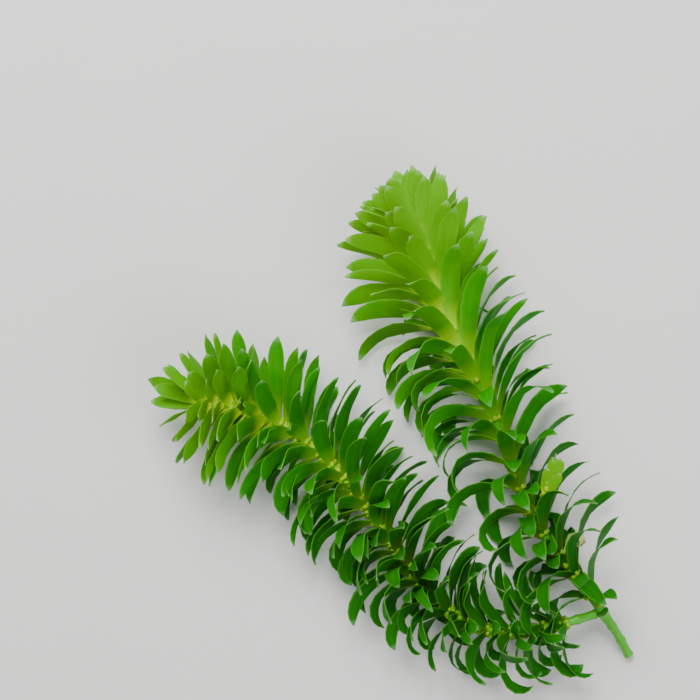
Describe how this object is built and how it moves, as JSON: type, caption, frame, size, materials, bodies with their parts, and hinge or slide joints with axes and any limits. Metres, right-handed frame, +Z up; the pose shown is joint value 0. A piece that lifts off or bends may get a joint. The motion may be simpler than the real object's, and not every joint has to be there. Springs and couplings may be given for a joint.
{
  "type": "waterweed sprig",
  "caption": "Picked sprig of Brazilian waterweed: a forked stem with whorls of narrow strap leaves, lying on its own leaves.",
  "frame": {"origin": "on the surface the plant lies on, under the middle of its bounding box", "axes": "+Z up, away from that surface; the two shoots run towards +Y and -X from the fork near the corner at +X -Y"},
  "size_m": [0.1321, 0.143, 0.0367],
  "materials": {
    "shoot": "soft wet sheen; lime green at the tips to mid green below; leaves let light through",
    "young_shoot": "soft wet sheen; bright lime green",
    "lower_stem": "smooth, slightly waxy; yellow green",
    "withered_leaf": "dull; pale cream green"
  },
  "bodies": {
    "root": {"lower_stem": "lower_stem", "right_shoot": "shoot", "left_shoot": "shoot", "side_shoot": "young_shoot", "withered_leaf": "withered_leaf"}
  },
  "joints": []
}
